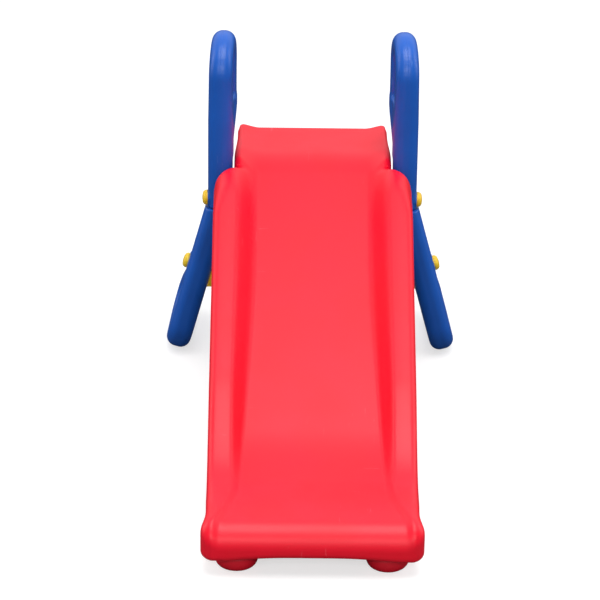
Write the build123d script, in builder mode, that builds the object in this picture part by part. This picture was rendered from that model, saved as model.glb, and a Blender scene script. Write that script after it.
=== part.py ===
from build123d import *

# Folding toddler slide: a red moulded chute with its platform, hinged on a steel rod to a blue
# ladder frame.  Each side of the frame is a leg with a looped foot and a looped handle that plugs
# over the leg's top.  A yellow step joins the legs, and yellow domed caps cover the rod's and the
# bolts' ends.  Millimetres; +Z up, the child slides towards -Y, X is across the slide, and the
# origin is on the floor under the middle of the whole.
import os
from math import cos, radians, sin, sqrt, tan

os.makedirs("parts", exist_ok=True)

# ---------------------------------------------------------------- driving dimensions
# chute, measured along its middle
LIP_Y = -535  # front face of the lip
REAR_Y = 507  # rear edge of the platform
SLOPE = tan(radians(26))
RUN_OUT_HEIGHT = 100  # flat exit above the floor
RUN_OUT_START = -380  # the curved foot of the slope ends here
RUN_OUT_CURVE = 150  # length of that curve
CREST_START = 318  # the slope ends and the crest's curve begins
CREST_CURVE = 72
CHUTE_HALF = 190
LIP_HALF = 200
PLATFORM_HALF = 147
LIP_RADIUS = 45
LIP_BOTTOM = 31
SHOULDER_Y = 326.2  # rear face of the shoulders, where the handles stop
SHOULDER_RADIUS = 40
RAIL_WIDTH = 38
RAIL_HEIGHT = 52
PLATFORM_DISH = 9
SKIRT = 32  # how far the side walls reach below the sliding floor
WALL = 4

# ladder frame
PIVOT_Y, PIVOT_Z = 350, 338
FRAME_X = 180  # middle plane of each side at the pivot
SPLAY = 15  # degrees, legs outwards
TOE_IN = 4  # degrees, rear of each side inwards
TUBE_X, TUBE_Y, TUBE_R = 48, 46, 20  # rounded section of the moulded tubes
SLIM_X, SLIM_Y, SLIM_R = 38, 36, 15  # and of their slimmer rear runs
RIM_Z = 322  # lower rim of the handle's socket
SPIGOT_X, SPIGOT_Y, SPIGOT_R, SPIGOT_TOP = 35.4, 33.4, 13, 392
SOCKET_GAP = 0.3
WEB = 22
FOOT_LEAN = 18  # the foot stands this much ahead of the pivot
FOOT_LENGTH = 210
HANDLE_BACK = 100  # fore-aft distance between the handle's two runs
CROWN_Z = 642

# step and fasteners
STEP_Y, STEP_TOP, STEP_DEPTH, STEP_HEIGHT = 388, 208, 105, 58
BOLT_P, BOLT_Q = 24, 163  # the step's bolt in the leg's own plane
BOLT_R = 4
ROD_R = 7
BUSH_R = 10
RUNNING_FIT = 0.05
CAP_R, CAP_HEIGHT, CAP_ROUND = 15, 11, 8
PAD_X, PAD_Y, PAD_R, PAD_HEIGHT = 135, -478, 39, 30
BOSS_R, STEM_R, STEM_LENGTH = 14, 7, 24
SCREW_R, SCREW_LENGTH = 2.4, 50
HEAD_R, HEAD_DEPTH = 5, 6
LUG_IN, LUG_R = 133, 20
BOSS_SINK = 4  # the front feet's bosses stop this far below the floor
LUG_SINK = 3
SCREW_Z = 374  # the screw that holds each handle on its leg
PALM_Z = 518  # lower edge of the hand hole
JOIN_Z = 428  # the loop's rear run meets the front run
LEG_JOIN_Z = 226
FOOT_AXIS_Z = 24  # middle of the tube along the floor
WEB_SHARE = 0.38  # how far down the foot's loop the panel reaches
BOLT_BOSS_R = 18
SEAT_X, SEAT_R = 204.5, 16  # flat seat of the pivot's cap
FLANGE_R, FLANGE = 14, 3
NUT_R, NUT = 7.5, 6.5
END_WALL = 12  # of the step
STEP_GAP = 0.2
CAP_CAVITY_R, CAP_CAVITY = 10, 7
UPRIGHT = (Align.CENTER, Align.CENTER, Align.MIN)

# ---------------------------------------------------------------- frames of reference
PLATFORM_Z = RUN_OUT_HEIGHT + SLOPE * (
    RUN_OUT_CURVE / 2 + CREST_START - RUN_OUT_START - RUN_OUT_CURVE + CREST_CURVE / 2
)
rearwards = Vector(sin(radians(TOE_IN)), cos(radians(TOE_IN)), 0)
steep = Vector(sin(radians(SPLAY)), 0, cos(radians(SPLAY)))
leg_up = (steep - rearwards * steep.dot(rearwards)).normalized()
pivot_left = Vector(-FRAME_X, PIVOT_Y, PIVOT_Z)
leg_plane = Plane(origin=pivot_left, x_dir=rearwards, z_dir=rearwards.cross(leg_up))
handle_plane = Plane(
    origin=(-FRAME_X, PIVOT_Y, 0), x_dir=rearwards, z_dir=rearwards.cross(Vector(0, 0, 1))
)


def save(part, name):
    """Label a finished piece and write it."""
    part.label = name
    export_step(part, f"parts/{name}.step")


def save_pair(part, name):
    """Write the left piece and its mirror image on the right."""
    save(part, f"{name}_left")
    save(mirror(part, about=Plane.YZ), f"{name}_right")


def blend(value, low, high):
    """0 at low, 1 at high, and smooth between."""
    t = min(max((value - low) / (high - low), 0), 1)
    return t * t * (3 - 2 * t)


# ---------------------------------------------------------------- the chute's shape
def floor_z(y):
    """Height of the sliding floor along the middle of the chute."""
    crest_end = CREST_START + CREST_CURVE
    curve_top = RUN_OUT_START + RUN_OUT_CURVE
    if y >= crest_end:
        return PLATFORM_Z
    if y >= CREST_START:
        return PLATFORM_Z - SLOPE * (crest_end - y) ** 2 / (2 * CREST_CURVE)
    if y >= curve_top:
        return RUN_OUT_HEIGHT + SLOPE * (RUN_OUT_CURVE / 2 + y - curve_top)
    return RUN_OUT_HEIGHT + SLOPE * max(y - RUN_OUT_START, 0) ** 2 / (2 * RUN_OUT_CURVE)


def rail_height(y):
    """Height of the side rails above the floor: low at the platform and the exit."""
    up = blend(y, -400, -180)
    down = blend(y, 230, 376)
    return 8 + (RAIL_HEIGHT - 8) * up - (RAIL_HEIGHT - PLATFORM_DISH) * down


def half_width(y):
    return CHUTE_HALF + (LIP_HALF - CHUTE_HALF) * blend(-y, 430, 520)


def lip_drop(y):
    """How far the quarter-round nose has fallen at this depth."""
    into_nose = max(LIP_Y + LIP_RADIUS - y, 0)
    return LIP_RADIUS - sqrt(max(LIP_RADIUS**2 - into_nose**2, 0))


def skirt_z(y):
    exit_depth = RUN_OUT_HEIGHT - LIP_BOTTOM
    return floor_z(y) - SKIRT - (exit_depth - SKIRT) * blend(-y, 180, 400)


def top_points(y, wall):
    """Half of the section's upper edge, from the middle outwards."""
    half = half_width(y) - wall
    floor_half = 104 + 40 * blend(-y, -150, 330)
    rail_in = half_width(y) - RAIL_WIDTH
    rise = rail_height(y)
    base = floor_z(y) - lip_drop(y) - wall
    points = [(0, 0), (floor_half * 0.6, 0), (floor_half, 0.02 * rise)]
    points += [(floor_half + (rail_in - floor_half) * t, rise * blend(t, 0, 1)) for t in (0.3, 0.6, 1)]
    points += [(half - 19, rise + 2), (half - 6, rise - 1), (half, rise - 8)]
    return [(x, base + z) for x, z in points]


def chute_section(y, wall, bottom):
    """Closed section across the chute at one depth."""
    right = top_points(y, wall)
    left = [(-x, z) for x, z in reversed(right[1:])]
    with BuildSketch(Plane(origin=(0, y, 0), x_dir=(1, 0, 0), z_dir=(0, -1, 0))) as section:
        with BuildLine():
            edge = Spline(*left, *right)
            Polyline(edge @ 1, (right[-1][0], bottom), (left[0][0], bottom), edge @ 0)
        make_face()
    return section.sketch


def stations(front, rear):
    """Depths of the chute's sections, close together where it curves."""
    inner = [-531, -525, -515, -503, -490, -455, -400, -360, -320, -280, -240, -200, -120, 0, 120]
    inner += [200, 240, 270, 300, 318, 334, 350, 368, 390, 440]
    return [front] + [y for y in inner if front < y < rear] + [rear]


def shoulder_notch(wall):
    """Plan outline beside the platform, cut away where the handle stands."""
    inner, back = PLATFORM_HALF - wall, SHOULDER_Y - wall
    arc_x, arc_y, radius = CHUTE_HALF - SHOULDER_RADIUS, SHOULDER_Y - SHOULDER_RADIUS, SHOULDER_RADIUS - wall
    with BuildSketch(Plane.XY.offset(250)) as outline:
        with BuildLine():
            Polyline((inner, 600), (inner, back), (arc_x, back))
            ThreePointArc(
                (arc_x, back),
                (arc_x + radius * cos(radians(45)), arc_y + radius * sin(radians(45))),
                (arc_x + radius, arc_y),
            )
            Polyline((arc_x + radius, arc_y), (260, arc_y), (260, 600), (inner, 600))
        make_face()
        mirror(about=Plane.YZ)
    return outline.sketch


with BuildPart() as chute_hollow:
    for y in stations(LIP_Y + WALL, REAR_Y - WALL):
        add(chute_section(y, WALL, -60))
    loft(ruled=True)
    add(shoulder_notch(WALL))
    extrude(amount=250, mode=Mode.SUBTRACT)
    for x in (-68, 68):  # long ribs under the floor
        with Locations((x, 0, 200)):
            Box(3.5, 1100, 600, mode=Mode.SUBTRACT)
    for y in range(-440, 480, 92):  # cross ribs
        with Locations((0, y, 200)):
            Box(420, 3.5, 600, mode=Mode.SUBTRACT)

with BuildPart() as slide_chute:
    for y in stations(LIP_Y, REAR_Y):
        add(chute_section(y, 0, skirt_z(y)))
    loft(ruled=True)
    add(shoulder_notch(0))
    extrude(amount=250, mode=Mode.SUBTRACT)
    add(chute_hollow.part, mode=Mode.SUBTRACT)
    with BuildSketch(Plane.YZ.offset(LUG_IN)) as lug_outline:  # hinge lugs under the platform
        with Locations((PIVOT_Y, PIVOT_Z)):
            Circle(LUG_R)
        with Locations((PIVOT_Y + 8, PIVOT_Z)):
            Rectangle(
                2 * LUG_R + 16, PLATFORM_Z - LUG_SINK - PIVOT_Z, align=(Align.CENTER, Align.MIN)
            )
    extrude(amount=PLATFORM_HALF - LUG_IN)
    mirror(about=Plane.YZ)
    with Locations(Plane.YZ):
        with Locations((PIVOT_Y, PIVOT_Z, 0)):
            Cylinder(BUSH_R, 400, mode=Mode.SUBTRACT)
    for side in (-1, 1):  # bosses that the front feet plug into
        with Locations((side * PAD_X, PAD_Y, PAD_HEIGHT)):
            Cylinder(BOSS_R, RUN_OUT_HEIGHT - PAD_HEIGHT - BOSS_SINK, align=UPRIGHT)
            Cylinder(STEM_R, STEM_LENGTH + 2, align=UPRIGHT, mode=Mode.SUBTRACT)
            Cylinder(SCREW_R, SCREW_LENGTH, align=UPRIGHT, mode=Mode.SUBTRACT)
save(slide_chute.part, "slide_chute")

# ---------------------------------------------------------------- front feet
with BuildPart() as front_foot:
    with BuildSketch(Plane.XZ) as foot_profile:
        Rectangle(PAD_R, PAD_HEIGHT, align=(Align.MIN, Align.MIN))
        with Locations((0, PAD_HEIGHT)):
            Rectangle(STEM_R, STEM_LENGTH, align=(Align.MIN, Align.MIN))
        fillet(foot_profile.vertices().sort_by(Axis.X)[-2:], radius=7)
    revolve(axis=Axis.Z)
    with Locations((0, 0, 0)):
        Cylinder(SCREW_R, 200, mode=Mode.SUBTRACT)
        Cylinder(HEAD_R + 1, HEAD_DEPTH, align=UPRIGHT, mode=Mode.SUBTRACT)
save_pair(front_foot.part.moved(Location((-PAD_X, PAD_Y, 0))), "front_foot")

with BuildPart() as foot_screws:
    with Locations((-PAD_X, PAD_Y, HEAD_DEPTH), (PAD_X, PAD_Y, HEAD_DEPTH)):
        Cylinder(SCREW_R, PAD_HEIGHT + SCREW_LENGTH - HEAD_DEPTH - 2, align=UPRIGHT)
        Cylinder(HEAD_R, 3.5, align=(Align.CENTER, Align.CENTER, Align.MAX))
save(foot_screws.part, "foot_screws")

# ---------------------------------------------------------------- handle
with BuildPart() as handle:
    with BuildLine(handle_plane) as front_run:
        rise = Line((0, RIM_Z), (0, CROWN_Z - HANDLE_BACK / 2))
        crown = ThreePointArc(
            rise @ 1, (HANDLE_BACK / 2, CROWN_Z), (HANDLE_BACK, CROWN_Z - HANDLE_BACK / 2)
        )
        Line(crown @ 1, (HANDLE_BACK, CROWN_Z - 80))
    with BuildSketch(Plane(front_run.line @ 0, x_dir=handle_plane.z_dir, z_dir=(0, 0, 1))):
        RectangleRounded(TUBE_X, TUBE_Y, TUBE_R)
    sweep()
    with BuildLine(handle_plane) as rear_run:
        FilletPolyline(
            (HANDLE_BACK, CROWN_Z - 70), (HANDLE_BACK, PALM_Z - 18), (2, JOIN_Z - 8), (-2, JOIN_Z - 60),
            radius=(46, 60),
        )
    with BuildSketch(Plane(rear_run.line @ 0, x_dir=handle_plane.z_dir, z_dir=(0, 0, -1))):
        RectangleRounded(SLIM_X, SLIM_Y, SLIM_R)
    sweep()
    with BuildSketch(handle_plane):  # the panel that closes the loop's lower part
        Polygon(
            (0, JOIN_Z), (14, JOIN_Z), (HANDLE_BACK, PALM_Z - 20), (HANDLE_BACK, PALM_Z), (0, PALM_Z),
            align=None,
        )
    extrude(amount=WEB / 2, both=True)
    with Locations(Plane.YZ):  # flat seat for the pivot's cap
        with Locations((PIVOT_Y, PIVOT_Z, -SEAT_X)):
            Cylinder(SEAT_R, SEAT_X - FRAME_X, align=UPRIGHT)
    with BuildSketch(Plane.XY.offset(RIM_Z)):  # socket for the leg's spigot
        with Locations((-FRAME_X, PIVOT_Y)):
            RectangleRounded(
                SPIGOT_X + 2 * SOCKET_GAP, SPIGOT_Y + 2 * SOCKET_GAP, SPIGOT_R, rotation=-TOE_IN
            )
    extrude(amount=SPIGOT_TOP - RIM_Z + 2, mode=Mode.SUBTRACT)
    with Locations(Plane.YZ):
        with Locations((PIVOT_Y, PIVOT_Z, -FRAME_X)):
            Cylinder(ROD_R, 80, mode=Mode.SUBTRACT)
        with Locations((PIVOT_Y, SCREW_Z, -FRAME_X + 30)):
            Cylinder(SCREW_R, 60, mode=Mode.SUBTRACT)
save_pair(handle.part, "handle")

# ---------------------------------------------------------------- leg
foot_depth = (PIVOT_Z - FOOT_AXIS_Z) / leg_up.Z
join_depth = (PIVOT_Z - LEG_JOIN_Z) / leg_up.Z
rear_end = Vector(FOOT_LENGTH, -foot_depth)
join = Vector(4, -join_depth)
rise_line = (join - rear_end).normalized()
heel_end = rear_end + rise_line * 100
with BuildPart() as leg:
    with BuildLine(leg_plane) as foot_run:
        FilletPolyline(
            (0, 0), (-FOOT_LEAN, -foot_depth), (rear_end.X, rear_end.Y), (heel_end.X, heel_end.Y),
            radius=(42, 38),
        )
    with BuildSketch(Plane(foot_run.line @ 0, x_dir=leg_plane.z_dir, z_dir=foot_run.line % 0)):
        RectangleRounded(TUBE_X, TUBE_Y, TUBE_R)
    sweep()
    heel_start = rear_end + rise_line * 92
    with BuildLine(leg_plane) as stay_run:
        Line((heel_start.X, heel_start.Y), (join.X, join.Y))
    with BuildSketch(Plane(stay_run.line @ 0, x_dir=leg_plane.z_dir, z_dir=stay_run.line % 0)):
        RectangleRounded(SLIM_X, SLIM_Y, SLIM_R)
    sweep()
    with BuildSketch(leg_plane):  # the panel that closes the loop's upper part
        web_side = join + (rear_end - join) * WEB_SHARE
        Polygon(
            (-8, -join_depth), (join.X, join.Y), (web_side.X, web_side.Y), (-14, web_side.Y), align=None
        )
    extrude(amount=WEB / 2, both=True)
    with Locations(leg_plane):  # boss for the step's bolt
        with Locations((BOLT_P, -BOLT_Q, 0)):
            Cylinder(BOLT_BOSS_R, TUBE_X)
            Cylinder(BOLT_R, 100, mode=Mode.SUBTRACT)
    split(bisect_by=Plane.XY.offset(RIM_Z - 2), keep=Keep.BOTTOM)
    with BuildSketch(Plane.XY.offset(RIM_Z - 12)):
        with Locations((-FRAME_X, PIVOT_Y)):
            RectangleRounded(SPIGOT_X, SPIGOT_Y, SPIGOT_R, rotation=-TOE_IN)
    extrude(amount=SPIGOT_TOP - RIM_Z + 12)
    with Locations(Plane.YZ):
        with Locations((PIVOT_Y, PIVOT_Z, -FRAME_X)):
            Cylinder(ROD_R, 80, mode=Mode.SUBTRACT)
        with Locations((PIVOT_Y, SCREW_Z, -FRAME_X + 30)):
            Cylinder(SCREW_R, 60, mode=Mode.SUBTRACT)
save_pair(leg.part, "leg")

# screws that keep each handle on its leg, driven from the inner side
with BuildPart() as handle_screws:
    with Locations(Plane.YZ):
        with Locations((PIVOT_Y, SCREW_Z, -FRAME_X)):
            Cylinder(SCREW_R, TUBE_X / 2 + 0.6, align=UPRIGHT)
        with Locations((PIVOT_Y, SCREW_Z, -FRAME_X + TUBE_X / 2 + 0.6)):
            Cylinder(HEAD_R, 2.4, align=UPRIGHT)
    mirror(about=Plane.YZ)
save(handle_screws.part, "handle_screws")

# ---------------------------------------------------------------- step between the legs


def step_half(depth, top, bottom, end_plane):
    """Left half of a bar across the slide, its end cut to the leg's slant."""
    with BuildPart() as bar:
        with BuildSketch(Plane.YZ) as profile:
            with Locations((STEP_Y, bottom)):
                Rectangle(depth, top - bottom, align=(Align.CENTER, Align.MIN))
            fillet(profile.vertices().sort_by(Axis.Y)[-2:], radius=8)
        extrude(amount=-300)
        split(bisect_by=end_plane, keep=Keep.TOP)
    return bar.part


with BuildPart() as step_tread:
    add(step_half(STEP_DEPTH, STEP_TOP, STEP_TOP - STEP_HEIGHT, leg_plane.offset(TUBE_X / 2 + STEP_GAP)))
    with Locations(leg_plane):
        with Locations((BOLT_P, -BOLT_Q, TUBE_X / 2)):
            Cylinder(BOLT_R, 60, mode=Mode.SUBTRACT)
    add(
        step_half(
            STEP_DEPTH - 2 * WALL,
            STEP_TOP - WALL,
            STEP_TOP - STEP_HEIGHT - 10,
            leg_plane.offset(TUBE_X / 2 + END_WALL),
        ),
        mode=Mode.SUBTRACT,
    )
    for x in (-140, -84, -28):  # ribs under the tread
        with Locations((x, STEP_Y, STEP_TOP - 2)):
            Box(3, STEP_DEPTH - WALL, STEP_HEIGHT - 14, align=(Align.CENTER, Align.CENTER, Align.MAX))
    with Locations((-80, STEP_Y, STEP_TOP)):  # grip grooves
        with GridLocations(0, 14, 1, 6):
            Box(200, 4, 3, mode=Mode.SUBTRACT)
    mirror(about=Plane.YZ)
save(step_tread.part, "step_tread")

with BuildPart() as step_bolts:
    with Locations(leg_plane):
        with Locations((BOLT_P, -BOLT_Q, -TUBE_X / 2)):
            Cylinder(BOLT_R, TUBE_X + END_WALL + NUT + 3, align=UPRIGHT)
            Cylinder(2 * BOLT_R, 4, align=(Align.CENTER, Align.CENTER, Align.MAX))
    mirror(about=Plane.YZ)
save(step_bolts.part, "step_bolts")

with BuildPart() as step_nuts:
    with BuildSketch(leg_plane.offset(TUBE_X / 2 + END_WALL)):
        with Locations((BOLT_P, -BOLT_Q)):
            RegularPolygon(NUT_R, 6)
            Circle(BOLT_R, mode=Mode.SUBTRACT)
    extrude(amount=NUT)
    mirror(about=Plane.YZ)
save(step_nuts.part, "step_nuts")

# ---------------------------------------------------------------- domed caps


def cap(outward):
    """Domed cap that covers a rod's or a bolt's end, on a plane that faces outwards."""
    with BuildPart() as dome:
        Cylinder(CAP_R, CAP_HEIGHT, align=UPRIGHT)
        fillet(dome.edges().filter_by(GeomType.CIRCLE).sort_by(Axis.Z)[-1], radius=CAP_ROUND)
        with Locations((0, 0, 0)):
            Cylinder(CAP_CAVITY_R, CAP_CAVITY, align=UPRIGHT, mode=Mode.SUBTRACT)
    return dome.part.moved(outward.location)


bolt_point = leg_plane.from_local_coords(Vector(BOLT_P, -BOLT_Q, -TUBE_X / 2))
save_pair(cap(Plane(bolt_point, z_dir=-leg_plane.z_dir)), "step_cap")
save_pair(cap(Plane((-SEAT_X, PIVOT_Y, PIVOT_Z), z_dir=(-1, 0, 0))), "pivot_cap")

# ---------------------------------------------------------------- hinge
across = Plane(origin=(0, PIVOT_Y, PIVOT_Z), z_dir=(-1, 0, 0))
with BuildPart() as pivot_rod:
    with Locations(across):
        Cylinder(ROD_R, 2 * SEAT_X + 10)
    chamfer(pivot_rod.edges().filter_by(GeomType.CIRCLE), length=1)
save(pivot_rod.part, "pivot_rod")

with BuildPart() as pivot_retainers:
    with Locations(across):
        with Locations((0, 0, SEAT_X + 1)):
            Cylinder(CAP_CAVITY_R - 1, 1.2, align=UPRIGHT)
            Cylinder(ROD_R, 10, mode=Mode.SUBTRACT)
    mirror(about=Plane.YZ)
save(pivot_retainers.part, "pivot_retainers")

with BuildPart() as pivot_bush:
    with Locations(across):
        with Locations((0, 0, LUG_IN)):
            Cylinder(BUSH_R, PLATFORM_HALF - LUG_IN, align=UPRIGHT)
        with Locations((0, 0, PLATFORM_HALF)):
            Cylinder(FLANGE_R, FLANGE, align=UPRIGHT)
        Cylinder(ROD_R + RUNNING_FIT, 400, mode=Mode.SUBTRACT)
save_pair(pivot_bush.part, "pivot_bush")

with BuildPart() as pivot_spacers:
    with Locations(across):
        with Locations((0, 0, PLATFORM_HALF + FLANGE + 0.4)):
            Cylinder(FLANGE_R - 1, 5, align=UPRIGHT)
            Cylinder(ROD_R, 30, mode=Mode.SUBTRACT)
    mirror(about=Plane.YZ)
save(pivot_spacers.part, "pivot_spacers")
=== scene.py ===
"""Folding toddler slide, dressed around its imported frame.

A red moulded chute hangs on a steel rod between two blue looped side frames, which a yellow step
and yellow domed caps tie together.  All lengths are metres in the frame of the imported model: the
child slides towards -Y, +Z is up and the floor is at zero.
"""
import logging
import math
from dataclasses import dataclass, field
from enum import Enum
from typing import Callable, Optional, Sequence

import bmesh
import bpy
import numpy as np
from mathutils import Matrix, Vector


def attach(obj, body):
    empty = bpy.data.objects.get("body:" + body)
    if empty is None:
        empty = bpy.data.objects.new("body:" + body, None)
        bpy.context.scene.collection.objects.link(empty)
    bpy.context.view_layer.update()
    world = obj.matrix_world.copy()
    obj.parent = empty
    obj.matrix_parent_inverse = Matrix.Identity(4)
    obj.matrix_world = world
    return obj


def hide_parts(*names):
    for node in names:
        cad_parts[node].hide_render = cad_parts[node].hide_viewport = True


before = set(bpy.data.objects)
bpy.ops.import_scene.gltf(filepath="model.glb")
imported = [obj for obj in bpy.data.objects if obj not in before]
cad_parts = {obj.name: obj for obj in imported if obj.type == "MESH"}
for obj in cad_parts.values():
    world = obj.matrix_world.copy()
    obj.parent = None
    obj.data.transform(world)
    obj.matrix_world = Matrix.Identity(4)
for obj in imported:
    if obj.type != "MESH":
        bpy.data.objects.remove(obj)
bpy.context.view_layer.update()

logging.basicConfig(level=logging.INFO, format="%(message)s")
log = logging.getLogger("toddler slide")

Array = np.ndarray
Mesh = bpy.types.Mesh
Tree = bpy.types.NodeTree
Socket = bpy.types.NodeSocket
Sockets = bpy.types.bpy_prop_collection
Material = bpy.types.Material
Pair = tuple[float, float]
Triple = tuple[float, float, float]
Section = tuple[float, float, float, float]
Distance = Callable[[Array, Array, Array], Array]
MM = 0.001


class Side(Enum):
    """The two sides of the slide, named as seen from its exit."""

    LEFT = -1
    RIGHT = 1

    def name_of(self, piece: str) -> str:
        """The name of this side's copy of a paired piece."""
        return f"{piece}_{self.name.lower()}"


class Body(Enum):
    """The bodies that pieces ride on."""

    SLIDE = "slide"
    LADDER = "ladder"


# ---- small mathematics
def smooth(share: Array) -> Array:
    """Smooth step of a share, which is first held between 0 and 1."""
    t = np.clip(share, 0, 1)
    return t * t * (3 - 2 * t)


def ease(value: Array, low: float, high: float) -> Array:
    """Smooth step of a value, from 0 at low to 1 at high."""
    return smooth((np.asarray(value, float) - low) / (high - low))


def quarter(count: int, first: float = 0.0) -> Array:
    """Angles over a quarter turn."""
    return np.linspace(first, math.pi / 2, count)


def round_over(inset: Array, radius: Array) -> Array:
    """How far an edge of that radius has fallen at a distance inside its outline."""
    into = np.clip(radius - inset, 0, radius)
    return radius - np.sqrt(np.maximum(radius**2 - into**2, 0))


def soft_union(a: Array, b: Array, reach: float) -> Array:
    """Union of two signed distances, with a fillet of that reach."""
    near = np.maximum(reach - np.abs(a - b), 0) / reach
    return np.minimum(a, b) - near**2 * reach / 4


def round_cut(a: Array, b: Array, radius: Array) -> Array:
    """Signed distance to what two forms share, with an edge of that radius."""
    u, v = np.maximum(a + radius, 0), np.maximum(b + radius, 0)
    return np.minimum(np.maximum(a, b), -radius) + np.hypot(u, v)


def route_length(route: Array) -> float:
    """Length of a plane route."""
    return float(np.linalg.norm(np.diff(route, axis=0), axis=1).sum())


def filleted(points: Sequence[Pair], radii: Sequence[float], step: float = 5 * MM) -> Array:
    """A plane route whose corners are arcs.

    Args:
        points: the route's ends and corners.
        radii: one radius for each corner.
        step: distance between samples on the arcs.

    Returns:
        The samples, one row each.
    """
    corners = [np.array(p, float) for p in points]
    route = [corners[0]]
    for before, corner, after, radius in zip(corners, corners[1:], corners[2:], radii):
        a, b = before - corner, after - corner
        a, b = a / np.linalg.norm(a), b / np.linalg.norm(b)
        half = math.acos(float(np.clip(a @ b, -1, 1))) / 2
        reach = radius / math.tan(half)
        centre = corner + (a + b) / np.linalg.norm(a + b) * radius / math.sin(half)
        start, end = corner + a * reach - centre, corner + b * reach - centre
        sweep = math.pi - 2 * half
        turn = math.copysign(sweep, start[0] * end[1] - start[1] * end[0])
        for angle in np.linspace(0, turn, max(4, int(radius * sweep / step)) + 1):
            cos, sin = math.cos(angle), math.sin(angle)
            route.append(centre + (start[0] * cos - start[1] * sin, start[0] * sin + start[1] * cos))
    return np.array(route + [corners[-1]])


# ---- meshes and pieces
def mended(mesh: Mesh) -> Mesh:
    """Merge a mesh's doubles and turn its faces outwards.

    Args:
        mesh: what is mended.

    Returns:
        The same mesh.
    """
    work = bmesh.new()
    work.from_mesh(mesh)
    bmesh.ops.remove_doubles(work, verts=work.verts, dist=1e-6)
    bmesh.ops.recalc_face_normals(work, faces=work.faces)
    work.to_mesh(mesh)
    work.free()
    return mesh


@dataclass
class Soup:
    """Vertices and faces that are being gathered for one piece."""

    points: list[Array] = field(default_factory=list)
    faces: list[tuple[int, ...]] = field(default_factory=list)
    count: int = 0

    def add(self, points: Array, faces: Sequence[Sequence[int]]) -> int:
        """Take in more vertices and faces.

        Args:
            points: new vertices, one row each.
            faces: faces that count from the first of them.

        Returns:
            The number of the first new vertex.
        """
        first = self.count
        self.points.append(np.asarray(points, float).reshape(-1, 3))
        self.faces += [tuple(int(v) + first for v in face) for face in faces]
        self.count += len(self.points[-1])
        return first

    def take(self, other: "Soup", shift: Triple = (0, 0, 0)) -> None:
        """Take in another soup, moved by a shift."""
        self.add(np.concatenate(other.points) + shift, other.faces)

    def mesh(self, name: str, repair: bool = False) -> Mesh:
        """Make the mesh.

        Args:
            name: name of the mesh.
            repair: merge doubles and turn all faces outwards.

        Returns:
            The mesh, shaded smooth.
        """
        mesh = bpy.data.meshes.new(name)
        mesh.from_pydata(np.concatenate(self.points).tolist(), [], self.faces)
        if repair:
            mended(mesh)
        mesh.shade_smooth()
        return mesh


def grid_faces(rows: int, columns: int, closed: bool = False, flip: bool = False) -> list[tuple[int, ...]]:
    """Quads of a grid whose vertices are stored row by row.

    Args:
        rows: number of rows.
        columns: number of vertices in a row.
        closed: join the last column to the first.
        flip: turn the faces over.

    Returns:
        The faces.
    """
    faces = []
    for i in range(rows - 1):
        for j in range(columns if closed else columns - 1):
            k = (j + 1) % columns
            face = (i * columns + j, i * columns + k, (i + 1) * columns + k, (i + 1) * columns + j)
            faces.append(face[::-1] if flip else face)
    return faces


def lathe(profile: Sequence[Pair], place: Matrix, segments: int) -> Soup:
    """Turn a closed profile about an axis.

    Args:
        profile: radius and height of each point, with radius 0 on the axis.
        place: where the axis stands, its own Z along it.
        segments: number of steps round the axis.

    Returns:
        The turned form.
    """
    soup = Soup()
    turns = np.linspace(0, 2 * math.pi, segments, endpoint=False)
    ring = np.array([[(r * math.cos(a), r * math.sin(a), h) for a in turns] for r, h in profile])
    matrix = np.array(place)
    soup.add(ring.reshape(-1, 3) @ matrix[:3, :3].T + matrix[:3, 3], grid_faces(len(profile), segments, True))
    return soup


def prism(outline: Array, low: float, high: float, bevel: float = 1 * MM) -> Soup:
    """A flat outline in the YZ plane, given thickness across the slide.

    Args:
        outline: y and z of its corners.
        low: lowest x.
        high: highest x.
        bevel: how far the end faces are drawn in.

    Returns:
        The solid.
    """
    middle = outline.mean(axis=0)
    reach = np.linalg.norm(outline - middle, axis=1, keepdims=True)
    inner = middle + (outline - middle) * (1 - bevel / reach)
    rings = [(low, inner), (low + bevel, outline), (high - bevel, outline), (high, inner)]
    points = np.concatenate([np.column_stack([np.full(len(o), x), o]) for x, o in rings])
    count = len(outline)
    soup = Soup()
    faces = grid_faces(4, count, True)
    soup.add(points, faces + [tuple(range(count))[::-1], tuple(range(3 * count, 4 * count))])
    return soup


def mirrored(mesh: Mesh, name: str) -> Mesh:
    """The same shape on the other side of the slide.

    Args:
        mesh: a finished mesh.
        name: name of the copy.

    Returns:
        The mirrored copy, with its faces outwards.
    """
    copy = mesh.copy()
    copy.name = name
    copy.transform(Matrix.Scale(-1, 4, Vector((1, 0, 0))))
    copy.flip_normals()
    return copy


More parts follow.
